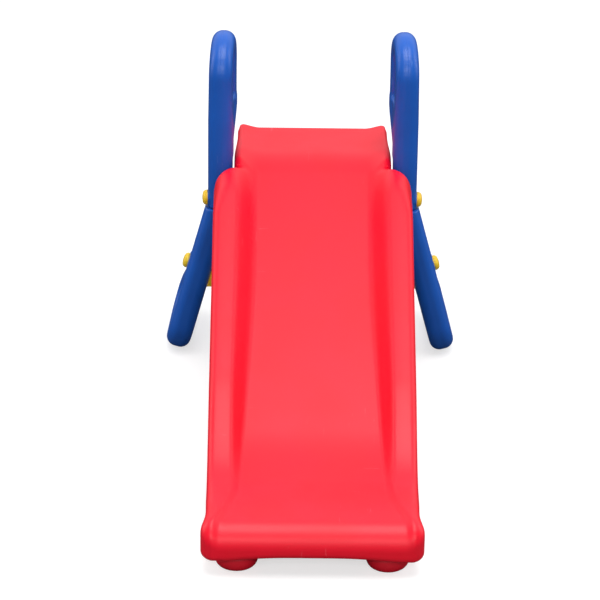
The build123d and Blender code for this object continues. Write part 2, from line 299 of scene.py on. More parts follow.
# ---- shader workshop
@dataclass
class Shader:
    """Short ways to place and join nodes in one tree."""

    tree: Tree

    def node(self, kind: str, **settings: object) -> bpy.types.Node:
        """Place a node.

        Args:
            kind: its type, without the leading "ShaderNode".
            settings: its own properties.

        Returns:
            The node.
        """
        made = self.tree.nodes.new(f"ShaderNode{kind}")
        for key, value in settings.items():
            setattr(made, key, value)
        return made

    def join(self, source: Socket, target: Socket) -> None:
        """Link an output to an input."""
        self.tree.links.new(source, target)

    def feed(self, target: Socket, value: object) -> None:
        """Link a socket to an input, or set the input where the value is plain.

        Args:
            target: the input.
            value: a socket, or a plain value.
        """
        if isinstance(value, Socket):
            self.join(value, target)
        else:
            target.default_value = value

    def noise(self, scale: object, detail: float, stretch: Optional[Sequence[float]] = None) -> Socket:
        """Noise on object coordinates.

        Args:
            scale: features for each metre.
            detail: octaves.
            stretch: scale along each axis, or None.

        Returns:
            The noise, 0 to 1.
        """
        place = self.node("TexCoord").outputs["Object"]
        if stretch is not None:
            mapping = self.node("Mapping")
            mapping.inputs["Scale"].default_value = stretch
            mapping.inputs["Rotation"].default_value = (0.0, 0.0, 0.35)
            self.join(place, mapping.inputs["Vector"])
            place = mapping.outputs["Vector"]
        noise = self.node("TexNoise")
        self.join(place, noise.inputs["Vector"])
        self.feed(noise.inputs["Scale"], scale)
        noise.inputs["Detail"].default_value = detail
        return noise.outputs["Fac"]

    def maths(self, operation: str, *values: object) -> Socket:
        """Arithmetic.

        Args:
            operation: Blender's name for it.
            values: sockets or plain numbers.

        Returns:
            The result.
        """
        made = self.node("Math", operation=operation)
        for target, value in zip(made.inputs, values):
            self.feed(target, value)
        return made.outputs[0]

    def ramp(self, value: Socket, low: float, high: float) -> Socket:
        """Spread the part of a value between two limits over 0 to 1.

        Args:
            value: what is spread.
            low: value that gives 0.
            high: value that gives 1.

        Returns:
            The smooth ramp.
        """
        made = self.node("MapRange", interpolation_type="SMOOTHSTEP")
        self.join(value, made.inputs["Value"])
        made.inputs["From Min"].default_value = low
        made.inputs["From Max"].default_value = high
        return made.outputs["Result"]

    def mix(self, share: object, a: object, b: object) -> Socket:
        """Mix two colours.

        Args:
            share: how much of the second.
            a: first colour.
            b: second colour.

        Returns:
            The mixed colour.
        """
        made = self.node("Mix", data_type="RGBA")
        self.feed(made.inputs[0], share)
        self.feed(made.inputs[6], a if isinstance(a, Socket) else (*a, 1.0))
        self.feed(made.inputs[7], b if isinstance(b, Socket) else (*b, 1.0))
        return made.outputs[2]


def node_group(name: str, inputs: dict[str, float], outputs: Sequence[str]) -> Tree:
    """An empty shader group with plain number sockets.

    Args:
        name: its name.
        inputs: names and values of its inputs.
        outputs: names of its outputs.

    Returns:
        The group, with its input and output nodes placed.
    """
    tree = bpy.data.node_groups.new(name, "ShaderNodeTree")
    for key, value in inputs.items():
        tree.interface.new_socket(key, in_out="INPUT", socket_type="NodeSocketFloat").default_value = value
    for key in outputs:
        tree.interface.new_socket(key, in_out="OUTPUT", socket_type="NodeSocketFloat")
    tree.nodes.new("NodeGroupInput")
    tree.nodes.new("NodeGroupOutput")
    return tree


def moulded_grain_group() -> Tree:
    """The skin that a textured mould leaves: broad ripple, fine grain and a slow mottle.

    Returns:
        The group, with a Height and a Mottle output.
    """
    tree = node_group("moulded grain", {"Ripple": 60.0, "Grain": 900.0, "Grain Share": 0.35}, ("Height", "Mottle"))
    s = Shader(tree)
    source, sink = tree.nodes[0].outputs, tree.nodes[1].inputs
    ripple = s.noise(source["Ripple"], 2.0)
    grain = s.noise(source["Grain"], 3.0)
    s.join(s.maths("MULTIPLY_ADD", grain, source["Grain Share"], ripple), sink["Height"])
    s.join(s.ramp(s.noise(9.0, 3.0), 0.3, 0.7), sink["Mottle"])
    return tree


def scuff_group() -> Tree:
    """Thin rubbed marks in two directions, thicker where a broad patch of wear lies.

    Returns:
        The group, with a Mask output.
    """
    tree = node_group("scuffs", {"Scale": 14.0, "Amount": 0.5}, ("Mask",))
    s = Shader(tree)
    source, sink = tree.nodes[0].outputs, tree.nodes[1].inputs
    patch = s.ramp(s.noise(6.0, 2.0), 0.5, 0.72)
    along = s.ramp(s.noise(source["Scale"], 4.0, (9.0, 0.8, 2.0)), 0.66, 0.74)
    across = s.ramp(s.noise(source["Scale"], 4.0, (1.2, 7.0, 3.0)), 0.68, 0.76)
    marks = s.maths("MAXIMUM", along, across)
    s.join(s.maths("MULTIPLY", s.maths("MULTIPLY", marks, patch), source["Amount"]), sink["Mask"])
    return tree


@dataclass(frozen=True)
class Plastic:
    """A moulded plastic finish.

    The colour drifts slowly between two tones, rubbed marks pale it, and the mould's grain breaks
    up the gloss.
    """

    name: str
    tone: Triple
    deep: Triple
    rubbed: Triple = (0.9, 0.9, 0.9)
    gloss: float = 0.42
    specular: float = 0.5
    scuffs: float = 0.45
    ripple: float = 60.0
    bump: float = 0.12
    bump_depth: float = 0.6 * MM
    gloss_drift: float = 0.05
    scuff_dulling: float = 0.2

    def build(self, groups: dict[str, Tree]) -> Material:
        """Make the material.

        Args:
            groups: the shared effects.

        Returns:
            The material.
        """
        material, s, skin, grain = self.start(groups)
        scuff = s.node("Group", node_tree=groups["scuffs"])
        scuff.inputs["Amount"].default_value = self.scuffs
        drift = s.mix(grain["Mottle"], self.tone, self.deep)
        s.join(s.mix(scuff.outputs["Mask"], drift, self.rubbed), skin["Base Color"])
        rough = s.maths("MULTIPLY_ADD", grain["Mottle"], self.gloss_drift, self.gloss - self.gloss_drift / 2)
        s.join(s.maths("MULTIPLY_ADD", scuff.outputs["Mask"], self.scuff_dulling, rough), skin["Roughness"])
        skin["IOR"].default_value = 1.5
        skin["Specular IOR Level"].default_value = self.specular
        return material

    def start(self, groups: dict[str, Tree]) -> tuple[Material, Shader, Sockets, Sockets]:
        """Start the material with its grain as a bump.

        Args:
            groups: the shared effects.

        Returns:
            The material, its nodes, the shader's inputs and the grain's outputs.
        """
        material = bpy.data.materials.new(self.name)
        material.use_nodes = True
        s = Shader(material.node_tree)
        skin = material.node_tree.nodes["Principled BSDF"].inputs
        grain, bump = s.node("Group", node_tree=groups["grain"]), s.node("Bump")
        grain.inputs["Ripple"].default_value = self.ripple
        bump.inputs["Strength"].default_value = self.bump
        bump.inputs["Distance"].default_value = self.bump_depth
        s.join(grain.outputs["Height"], bump.inputs["Height"])
        s.join(bump.outputs["Normal"], skin["Normal"])
        return material, s, skin, grain.outputs


@dataclass(frozen=True)
class Plated(Plastic):
    """Bright zinc plating on small steel parts, duller where it is worn to the deeper tone."""

    gloss: float = 0.3
    ripple: float = 300.0
    bump: float = 0.1
    bump_depth: float = 0.1 * MM
    gloss_drift: float = 0.15

    def build(self, groups: dict[str, Tree]) -> Material:
        """Make the material.

        Args:
            groups: the shared effects.

        Returns:
            The material.
        """
        material, s, skin, grain = self.start(groups)
        s.join(s.mix(grain["Mottle"], self.tone, self.deep), skin["Base Color"])
        s.join(s.maths("MULTIPLY_ADD", grain["Mottle"], self.gloss_drift, self.gloss), skin["Roughness"])
        skin["Metallic"].default_value = 1.0
        return material


@dataclass
class Finishes:
    """Every finish on the slide, by its slot in the record."""

    made: dict[str, Material] = field(default_factory=dict)

    def build(self) -> None:
        """Make the shared effects and then each material."""
        groups = {"grain": moulded_grain_group(), "scuffs": scuff_group()}
        for finish in (
            Plastic("red_plastic", (0.93, 0.0, 0.022), (0.88, 0.0, 0.018), (1.0, 0.16, 0.20), specular=0.42),
            # the front feet's darker red is partly their own plastic and partly painted shade: it stands in for the
            # shade they sit in under the lip
            Plastic("dark_red_plastic", (0.80, 0.002, 0.022), (0.70, 0.002, 0.018), (0.8, 0.1, 0.12), gloss=0.5),
            Plastic(
                "blue_plastic", (0.006, 0.105, 0.52), (0.004, 0.090, 0.46), (0.16, 0.30, 0.70), gloss=0.36, ripple=90.0
            ),
            Plastic("yellow_plastic", (0.93, 0.62, 0.03), (0.88, 0.55, 0.02), (1.0, 0.8, 0.3), gloss=0.36),
            Plastic("white_nylon", (0.78, 0.78, 0.74), (0.70, 0.70, 0.66), (0.9, 0.9, 0.88), gloss=0.45),
            Plated("zinc_steel", (0.66, 0.67, 0.69), (0.48, 0.49, 0.50)),
        ):
            self.made[finish.name] = finish.build(groups)
            log.info("finish %s", finish.name)

    def place(
        self, mesh: Mesh, body: Body, slot: str, stands_for: Optional[str] = None, crease: Optional[float] = None
    ) -> None:
        """Put a finished mesh in the scene as one piece.

        Args:
            mesh: its shape, in place.
            body: the body that it moves with.
            slot: the record's material slot.
            stands_for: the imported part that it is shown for, or None.
            crease: angle in degrees past which an edge shows sharp, or None.
        """
        if crease is not None:
            mesh.set_sharp_from_angle(angle=math.radians(crease))
        mesh.materials.clear()
        mesh.materials.append(self.made[slot])
        piece = bpy.data.objects.new(mesh.name, mesh)
        bpy.context.scene.collection.objects.link(piece)
        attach(piece, body.value)
        if stands_for:
            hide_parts(stands_for)
        log.info("%s: %d faces on %s", mesh.name, len(mesh.polygons), body.value)

    def place_sides(self, slot: str, shapes: Sequence[tuple[Mesh, str, Optional[str], Optional[float]]]) -> None:
        """Put left-hand ladder pieces in the scene, and then their mirror images.

        Args:
            slot: the record's material slot.
            shapes: mesh, name of the piece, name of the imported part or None, and crease or None,
                with both names less their side.
        """
        for side in Side:
            for mesh, piece, stands_for, crease in shapes:
                shape = mesh if side is Side.LEFT else mirrored(mesh, side.name_of(piece))
                self.place(shape, Body.LADDER, slot, stands_for and side.name_of(stands_for), crease)


# ---- the chute
@dataclass
class Chute:
    """The red slide: platform, crest, slope, curved run-out and rolled lip, one hollow moulding."""

    lip_y: float = -0.535
    rear_y: float = 0.507
    slope: float = math.tan(math.radians(26))
    exit_height: float = 0.100
    exit_start: float = -0.380
    exit_curve: float = 0.150
    crest_start: float = 0.318
    crest_curve: float = 0.072
    half: float = 0.190
    lip_half: float = 0.2025
    platform_half: float = 0.147
    platform_flare: float = 0.005
    nose: float = 0.037
    nose_length: float = 0.042
    lip_fall: float = 0.008
    lip_fall_length: float = 0.088
    lip_bottom: float = 0.031
    lip_arch: float = 0.007
    arch_half: float = 0.160
    shoulder_y: float = 0.3262
    shoulder_round: float = 0.043
    shoulder_fillet: float = 0.006
    rail_width: float = 0.038
    rail_height: float = 0.052
    rail_low: float = 0.007
    rail_crown: float = 0.002
    rail_thinning: float = 0.018
    floor_half: float = 0.104
    floor_spread: float = 0.024
    lip_spread: float = 0.036
    dish: float = 0.009
    skirt: float = 0.032
    wall: float = 0.004
    rail_round: float = 0.012
    shoulder_edge: float = 0.038
    platform_round: float = 0.013
    lip_round: float = 0.026
    rear_round: float = 0.004
    rear_chamfer: float = 0.008
    bead: float = 0.0010
    rib: float = 0.0035
    lug_in: float = 0.133
    lug_radius: float = 0.020
    pivot: Pair = (0.350, 0.338)
    boss_at: Pair = (0.135, -0.478)
    boss_radius: float = 0.014

    @property
    def platform_z(self) -> float:
        """Height of the platform's floor."""
        run = self.exit_curve / 2 + self.crest_start - self.exit_start - self.exit_curve
        return self.exit_height + self.slope * (run + self.crest_curve / 2)

    def floor(self, y: Array) -> Array:
        """Height of the sliding floor along its middle.

        Args:
            y: depths along the slide.

        Returns:
            The heights.
        """
        crest_end, curve_top = self.crest_start + self.crest_curve, self.exit_start + self.exit_curve
        crest = self.platform_z - self.slope * (crest_end - y) ** 2 / (2 * self.crest_curve)
        straight = self.exit_height + self.slope * (self.exit_curve / 2 + y - curve_top)
        into = np.maximum(y - self.exit_start, 0)
        foot = self.exit_height + self.slope * into**2 / (2 * self.exit_curve)
        lower = np.where(y >= curve_top, straight, foot)
        return np.where(y >= crest_end, self.platform_z, np.where(y >= self.crest_start, crest, lower))

    def rise(self, y: Array) -> Array:
        """Height of the rails above the floor."""
        down = (self.rail_height - self.dish) * ease(y, 0.222, 0.376)
        return self.rail_low + (self.rail_height - self.rail_low) * ease(y, -0.400, -0.180) - down

    def side(self, y: Array) -> Array:
        """Half width between the outer walls, before any corner."""
        return self.half + (self.lip_half - self.half) * ease(-y, 0.455, 0.525)

    def side_round(self, y: Array) -> Array:
        """Radius of the top edge along the sides.

        Args:
            y: depths along the slide.

        Returns:
            The radii.
        """
        lip = (self.lip_round - self.rail_round) * ease(-y, 0.440, 0.500)
        shoulder = (self.shoulder_edge - self.rail_round) * ease(y, 0.170, 0.260)
        platform = (self.shoulder_edge - self.platform_round) * ease(y, 0.312, 0.350)
        return self.rail_round + lip + shoulder - platform

    def outline(self, y: Array) -> Array:
        """Half width of the plan, with the rounded lip, the shoulders and the platform.

        Args:
            y: depths along the slide.

        Returns:
            The half widths.
        """
        ahead = np.clip(1 - (y - self.lip_y) / self.nose_length, 0, 1)
        front = self.side(y) - self.side_round(y) * (1 - np.sqrt(np.maximum(1 - ahead**2, 0)))
        into = np.clip(y - self.shoulder_y + self.shoulder_round, 0, self.shoulder_round)
        arc = self.platform_half + np.sqrt(self.shoulder_round**2 - into**2)
        left = np.clip(self.shoulder_y + self.shoulder_fillet - y, 0, self.shoulder_fillet)
        root = self.platform_half + self.shoulder_fillet - np.sqrt(self.shoulder_fillet**2 - left**2)
        shoulder = np.maximum(arc, self.platform_half + self.shoulder_fillet + self.platform_flare)
        chamfer = np.clip(y - self.rear_y + self.rear_chamfer, 0, self.rear_chamfer)
        back = root - chamfer + self.flare(y)
        start = self.shoulder_y - self.shoulder_round
        return np.where(y < start, front, np.where(y < self.shoulder_y, shoulder, back))

    def flare(self, y: Array) -> Array:
        """How much wider the platform is towards the shoulders."""
        return self.platform_flare * (1 - ease(y, 0.370, 0.470))

    def inset(self, x: Array, y: Array) -> Array:
        """Distance from the sides of the plan.

        Args:
            x: places across the slide.
            y: depths along the slide.

        Returns:
            The distances, zero on the sides.
        """
        x = np.abs(x)
        beside, ahead = self.platform_half + self.flare(y) - x, self.shoulder_y - y
        start = self.shoulder_y - self.shoulder_round
        beyond = np.maximum(x - self.platform_half, 0)
        arc = self.shoulder_round - np.hypot(beyond, np.maximum(y - start, 0))
        wide = np.where(y < start, self.side(y) - x, arc)
        corner = np.hypot(np.maximum(beside, 0), np.maximum(ahead, 0))
        inner = np.where(y > self.shoulder_y, beside, np.minimum(self.side(y) - x, corner))
        return np.maximum(np.where(beside < 0, wide, inner), 0)

    def height(self, x: Array, y: Array) -> Array:
        """Height of the upper surface.

        Args:
            x: places across the slide.
            y: depths along the slide.

        Returns:
            The heights.
        """
        near, rise = self.inset(x, y), self.rise(y)
        lip = ease(-y, 0.390, 0.520)
        floor_half = self.floor_half + self.floor_spread * ease(-y, -0.150, 0.400) + self.lip_spread * lip
        rail_in = self.side(y) - self.rail_width + self.rail_thinning * lip
        wall = rise * smooth((np.abs(x) - floor_half) / (rail_in - floor_half))
        middle = self.rail_width / 2
        crown = self.rail_crown * np.clip(1 - ((near - middle) / middle) ** 2, 0, 1)
        radius = self.side_round(y)
        ahead = np.clip(1 - (y - self.lip_y) / self.nose_length, 0, 1)
        beside = np.clip(1 - near / radius, 0, 1)
        both = np.clip(ahead**2 + beside**2, 1e-9, 1)
        depth = (self.nose * ahead**2 + radius * beside**2) / np.maximum(ahead**2 + beside**2, 1e-9)
        drop = depth * (1 - np.sqrt(1 - both)) + round_over(self.rear_y - y, self.rear_round)
        fall = self.lip_fall * np.clip(1 - (y - self.lip_y) / self.lip_fall_length, 0, 1) ** 2
        return self.floor(y) + wall + crown * rise / self.rail_height - drop - fall

    def skirt_z(self, x: Array, y: Array) -> Array:
        """Height of the lower rim, arched between the front feet.

        Args:
            x: places across the slide.
            y: depths along the slide.

        Returns:
            The heights.
        """
        depth = self.exit_height - self.lip_bottom
        rim = self.floor(y) - self.skirt - (depth - self.skirt) * ease(-y, 0.180, 0.400)
        arch = self.lip_arch * smooth(1 - (np.abs(x) / self.arch_half) ** 2)
        return rim + arch * ease(-y, 0.490, 0.530)

    def rows(self) -> Array:
        """Depths of the rows of the skin, close together where it bends.

        Returns:
            The depths, from the lip to the rear.
        """
        nose = self.lip_y + self.nose_length * (1 - np.cos(quarter(18)))
        start = self.shoulder_y - self.shoulder_round
        arc = start + self.shoulder_round * np.sin(quarter(18))
        root = self.shoulder_y + self.shoulder_fillet * (1 - np.cos(quarter(6)))
        rear = self.rear_y - self.rear_round * (1 - np.sin(quarter(9)))
        runs = [
            nose,
            np.arange(nose[-1] + 5 * MM, -0.180, 5 * MM),
            np.arange(-0.180, 0.225, 10 * MM),
            np.arange(0.230, start - 2 * MM, 5 * MM),
            arc,
            root[1:],
            np.arange(root[-1] + 4 * MM, 0.380, 4 * MM),
            np.arange(0.383, rear[0] - 2 * MM, 8 * MM),
            rear,
        ]
        depths = np.concatenate(runs)
        apart = np.concatenate([[True], np.diff(depths) > 0.05 * MM])
        return depths[apart]

    def columns(self) -> tuple[Array, Array]:
        """How the columns spread over half a row.

        Returns:
            The insets of the columns near the edge, and the shares of the rest of the half width.
        """
        near = np.array([0, 0.3, 0.8, 1.5, 2.4, 3.5, 5, 7, 9, 11.5, 14, 17, 20, 23, 26, 29, 32, 35, 38]) * MM
        rest = np.concatenate([np.linspace(0.985, 0.62, 22), np.linspace(0.56, 0, 9)])
        return near, rest

    def skin(self, draw_in: float) -> Array:
        """One skin of the moulding as a grid of points.

        Args:
            draw_in: how far it lies inside the outer skin.

        Returns:
            Rows by columns by 3.
        """
        rows = self.rows()
        near, rest = self.columns()
        edge = self.outline(rows)[:, None] - draw_in
        half = np.concatenate([edge - near, (edge - near[-1]) * rest], axis=1)
        x = np.concatenate([-half, half[:, -2::-1]], axis=1)
        middle = (self.lip_y + self.rear_y) / 2
        reach = (self.rear_y - self.lip_y) / 2
        y = middle + (rows - middle) * (reach - draw_in) / reach
        y = np.repeat(y[:, None], x.shape[1], axis=1)
        return np.stack([x, y, self.height(x, y) - draw_in], axis=2)

    def shell(self) -> Soup:
        """The hollow moulding: outer skin, side walls, rim and inner skin in one closed form.

        Returns:
            The closed form.
        """
        outer, inner = self.skin(0.0), self.skin(self.wall)
        rows, columns = outer.shape[:2]
        soup = Soup()
        soup.add(outer, grid_faces(rows, columns))
        first_inner = soup.add(inner, grid_faces(rows, columns, flip=True))
        front = list(range(columns))
        right = [i * columns + columns - 1 for i in range(1, rows)]
        back = [(rows - 1) * columns + j for j in range(columns - 2, -1, -1)]
        left = [i * columns for i in range(rows - 2, 0, -1)]
        loop = np.array(front + right + back + left)
        edge, lining = outer.reshape(-1, 3)[loop], inner.reshape(-1, 3)[loop]
        ahead = np.roll(edge, -1, axis=0) - np.roll(edge, 1, axis=0)
        out = np.column_stack([ahead[:, 1], -ahead[:, 0]])
        out /= np.maximum(np.linalg.norm(out, axis=1, keepdims=True), 1e-9)
        y = edge[:, 1]
        floor = self.skirt_z(edge[:, 0], y)
        roll = 1.5 * MM + 10.5 * MM * ease(-y, 0.440, 0.500)
        bead = self.bead * ease(y, -0.50, -0.42)
        rings: list[Array] = []

        def ring(push: Array, z: Array) -> None:
            """Gather one ring of the side wall, pushed outwards and set at its heights."""
            rings.append(np.column_stack([edge[:, :2] + out * np.asarray(push)[:, None], z]))

        top = edge[:, 2]
        for share, fall in ((0.6, 0.5), (1.0, 1.3), (1.0, 2.6), (0.5, 3.4), (0.0, 4.0)):
            ring(bead * share, top - fall * MM)
        start = top - 4 * MM
        for t in (0.35, 0.7, 1.0):
            ring(0 * y, start + (floor + roll - start) * t)
        for angle in quarter(7)[1:]:
            ring(-roll * (1 - math.cos(angle)), floor + roll * (1 - math.sin(angle)))
        ring(-(roll + self.wall - 1.5 * MM), floor)
        inside = np.column_stack([edge[:, :2] - out * (roll + self.wall - 1.0 * MM)[:, None], floor + 1 * MM])
        rings.append(inside)
        for t in (0.33, 0.66):
            rings.append(inside * (1 - t) + lining * t)
        count = len(loop)
        first = soup.add(np.concatenate(rings), grid_faces(len(rings), count, True, flip=True))
        last = first + (len(rings) - 1) * count
        for k in range(count):
            n = (k + 1) % count
            soup.faces.append((first + k, first + n, int(loop[n]), int(loop[k])))
            soup.faces.append((last + n, last + k, int(loop[k]) + first_inner, int(loop[n]) + first_inner))
        return soup

    def plate(self, soup: Soup, top: Array, bottom: Array, across: Sequence[float]) -> None:
        """Add one stiffening rib.

        Args:
            soup: what it is added to.
            top: points along its upper edge, inside the skin.
            bottom: points along its lower edge.
            across: direction of its thickness.
        """
        half = np.array(across) * self.rib / 2
        count = len(top)
        points = np.concatenate([top - half, top + half, bottom + half, bottom - half])
        faces: list[tuple[int, ...]] = []
        for band in range(4):
            a, b = band * count, (band + 1) % 4 * count
            faces += [(a + k, b + k, b + k + 1, a + k + 1) for k in range(count - 1)]
        ends = [(0, 3 * count, 2 * count, count)]
        ends.append((count - 1, 2 * count - 1, 3 * count - 1, 4 * count - 1))
        soup.add(points, faces + ends)

    def ribs(self) -> Soup:
        """The stiffening ribs under the floor.

        Returns:
            Two long ribs and the cross ribs.
        """
        soup = Soup()
        sink = self.wall - 1 * MM
        y = np.linspace(self.lip_y + 0.02, self.rear_y - sink, 90)
        for x in (-0.068, 0.068):
            line = np.full_like(y, x)
            top = np.column_stack([line, y, self.height(line, y) - sink])
            bottom = np.column_stack([line, y, self.skirt_z(line + 1, y) + 3 * MM])
            self.plate(soup, top, bottom, (1, 0, 0))
        for depth in np.arange(-0.440, 0.480, 0.092):
            reach = float(self.outline(np.array([depth]))[0]) - sink
            x = np.linspace(-reach, reach, 70)
            line = np.full_like(x, depth)
            low = self.skirt_z(line * 0 + 1, line) + 3 * MM
            top = np.column_stack([x, line, np.maximum(self.height(x, line) - sink, low + 1 * MM)])
            self.plate(soup, top, np.column_stack([x, line, low]), (0, 1, 0))
        return soup

    def lugs(self) -> Soup:
        """The two hinge lugs that hang under the platform.

        Returns:
            Both lugs.
        """
        y, z = self.pivot
        angles = np.linspace(math.pi, 2 * math.pi, 25)
        bowl = [(y + self.lug_radius * math.cos(a), z + self.lug_radius * math.sin(a)) for a in angles]
        top = self.platform_z - 3 * MM
        outline = np.array(bowl + [(y + 28 * MM, top - 30 * MM), (y + 30 * MM, top), (y - 24 * MM, top)])
        soup = Soup()
        for low, high in ((self.lug_in, self.platform_half), (-self.platform_half, -self.lug_in)):
            soup.take(prism(outline, low, high))
        return soup

    def bosses(self) -> Soup:
        """The bosses that the front feet plug into.

        Returns:
            Both bosses.
        """
        soup = Soup()
        x, y = self.boss_at
        top = self.exit_height - 3 * MM
        r, bore, low = self.boss_radius, 7.2 * MM, 31 * MM
        profile = [(bore, low), (r - MM, low), (r, low + MM), (r, top), (bore, top), (bore, low)]
        for side in Side:
            soup.take(lathe(profile, Matrix.Translation((side.value * x, y, 0)), 40))
        return soup

    def build(self, finishes: Finishes) -> None:
        """Make the chute and dress it.

        Args:
            finishes: the materials.
        """
        inner = Soup()
        for part in (self.ribs(), self.lugs(), self.bosses()):
            inner.take(part)
        shell, ribs = self.shell().mesh("chute_shell"), inner.mesh("chute_ribs", repair=True)
        finishes.place(shell, Body.SLIDE, "red_plastic", "slide_chute")
        finishes.place(ribs, Body.SLIDE, "red_plastic", crease=40)


@dataclass
class FrontFoot:
    """A round foot under the lip, with a stem that plugs into the chute's boss."""

    at: Pair = (0.135, -0.478)
    radius: float = 0.039
    height: float = 0.030
    stem_radius: float = 0.007
    stem: float = 0.024
    edge: float = 0.007

    def profile(self) -> list[Pair]:
        """The section of the foot, starting in the screw's hole.

        Returns:
            The profile's points.
        """
        hole, seat, depth, e = 2.5 * MM, 6 * MM, 6 * MM, self.edge
        points = [(hole, depth), (seat, depth), (seat, 0.6 * MM), (seat + 0.6 * MM, 0.0)]
        points += [(r * self.radius, h) for r, h in ((0.6, 0.0), (0.62, 0.8 * MM), (0.70, 0.8 * MM), (0.72, 0.0))]
        turn = quarter(9)
        wide, deep = 10 * MM, 15 * MM
        points += [(self.radius - wide * (1 - math.sin(a)), deep * (1 - math.cos(a))) for a in turn]
        points += [(self.radius - e + e * math.cos(a), self.height - e + e * math.sin(a)) for a in turn]
        points += [(self.stem_radius + 2 * MM, self.height), (self.stem_radius, self.height + 2 * MM)]
        top = self.height + self.stem
        points += [(self.stem_radius, top - MM), (self.stem_radius - MM, top), (hole, top), (hole, depth)]
        return points

    def build(self, finishes: Finishes) -> None:
        """Make both feet.

        Args:
            finishes: the materials.
        """
        for side in Side:
            place = Matrix.Translation((side.value * self.at[0], self.at[1], 0))
            name = side.name_of("front_foot")
            mesh = lathe(self.profile(), place, 72).mesh(f"{name}_pad", repair=True)
            # the feet get the darker red finish, which paints the shade under the lip into their colour, on top of
            # their own red
            finishes.place(mesh, Body.SLIDE, "dark_red_plastic", name, crease=40)


# ---- moulded side frames
@dataclass
class Tube:
    """A tube along a plane route, whose section changes on the way.

    The section table holds rows of distance along the route, half width across the plane, half
    width in the plane, corner radius, and how far the section lies towards the slide's middle.
    """

    route: Array
    section: Sequence[tuple[float, float, float, float, float]]

    def distance(self, p: Array, q: Array, n: Array) -> Array:
        """Signed distance to the tube.

        Args:
            p, q, n: coordinates to the rear, upwards and across the plane.

        Returns:
            The distance, negative inside.
        """
        shape = np.broadcast(p, q).shape
        best, along = np.full(shape, np.inf), np.zeros(shape)
        run = 0.0
        for a, b in zip(self.route, self.route[1:]):
            d = b - a
            length = float(np.hypot(*d))
            t = np.clip(((p - a[0]) * d[0] + (q - a[1]) * d[1]) / length**2, 0, 1)
            away = np.hypot(p - a[0] - t * d[0], q - a[1] - t * d[1])
            nearer = away < best
            best = np.where(nearer, away, best)
            along = np.where(nearer, run + t * length, along)
            run += length
        keys = np.array(self.section)
        across, within, radius, shift = (np.interp(along, keys[:, 0], keys[:, k]) for k in (1, 2, 3, 4))
        return round_cut(np.abs(n - shift) - across, best - within, radius)

    def offset(self, push: float) -> Array:
        """The route's own line moved sideways to the tube's outer face.

        Args:
            push: how far past the face.

        Returns:
            Points in the plane.
        """
        ahead = np.gradient(self.route, axis=0)
        ahead /= np.linalg.norm(ahead, axis=1, keepdims=True)
        steps = np.linalg.norm(np.diff(self.route, axis=0), axis=1)
        along = np.concatenate([[0], np.cumsum(steps)])
        keys = np.array(self.section)
        reach = np.interp(along, keys[:, 0], keys[:, 2]) + push
        return self.route + np.column_stack([-ahead[:, 1], ahead[:, 0]]) * reach[:, None]


def web_distance(p: Array, q: Array, n: Array, corners: Array, half: float, radius: float) -> Array:
    """Signed distance to a flat panel with rounded edges.

    Args:
        p, q, n: coordinates to the rear, upwards and across the plane.
        corners: the panel's corners.
        half: half its thickness.
        radius: radius of its edges.

    Returns:
        The distance, negative inside.
    """
    shape = np.broadcast(p, q).shape
    nearest, inside = np.full(shape, np.inf), np.zeros(shape, bool)
    for a, b in zip(corners, np.roll(corners, -1, axis=0)):
        d = b - a
        t = np.clip(((p - a[0]) * d[0] + (q - a[1]) * d[1]) / float(d @ d), 0, 1)
        nearest = np.minimum(nearest, np.hypot(p - a[0] - t * d[0], q - a[1] - t * d[1]))
        crosses = (a[1] > q) != (b[1] > q)
        if abs(d[1]) > 1e-12:
            inside = inside ^ (crosses & (p < a[0] + (q - a[1]) * d[0] / d[1]))
    return round_cut(np.where(inside, -nearest, nearest), np.abs(n) - half, radius)


